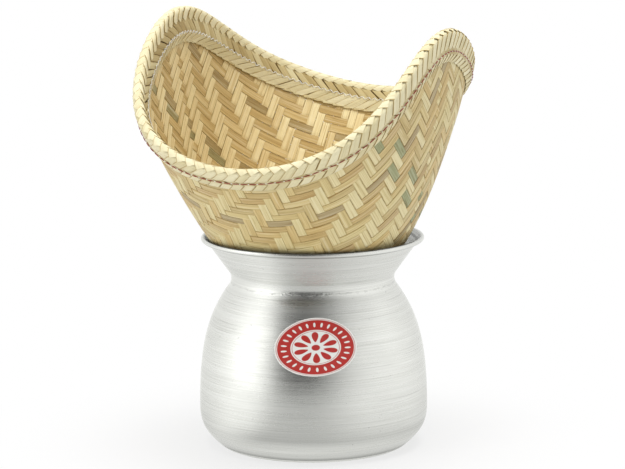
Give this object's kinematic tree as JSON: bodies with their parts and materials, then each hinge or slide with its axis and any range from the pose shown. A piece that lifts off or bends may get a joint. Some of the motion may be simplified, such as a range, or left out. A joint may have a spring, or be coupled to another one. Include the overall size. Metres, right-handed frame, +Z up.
{
  "type": "sticky rice steamer",
  "caption": "Spun aluminium pot with a flared mouth and a plaited bamboo basket that stands in it and lifts out.",
  "frame": {"origin": "centre of the pot's flat base", "axes": "+Z up along the pot's axis, -Y towards the front, where the label is"},
  "size_m": [0.3357, 0.3635, 0.4364],
  "materials": {
    "pot_body": "spun and brushed",
    "pot_label": "printed sticker with a white edge",
    "basket_mat": "split bamboo, plaited",
    "rim_plait": "flat braid of pale leaf, stitched"
  },
  "bodies": {
    "pot": {"pot_body": "pot_body", "pot_label": "pot_label"},
    "basket": {"basket_mat": "basket_mat", "rim_plait": "rim_plait"}
  },
  "joints": [
    {"name": "basket_lift", "type": "slide", "parent": "pot", "child": "basket", "axis": [0, 0, 1], "range_m": [0, 0.2]}
  ]
}
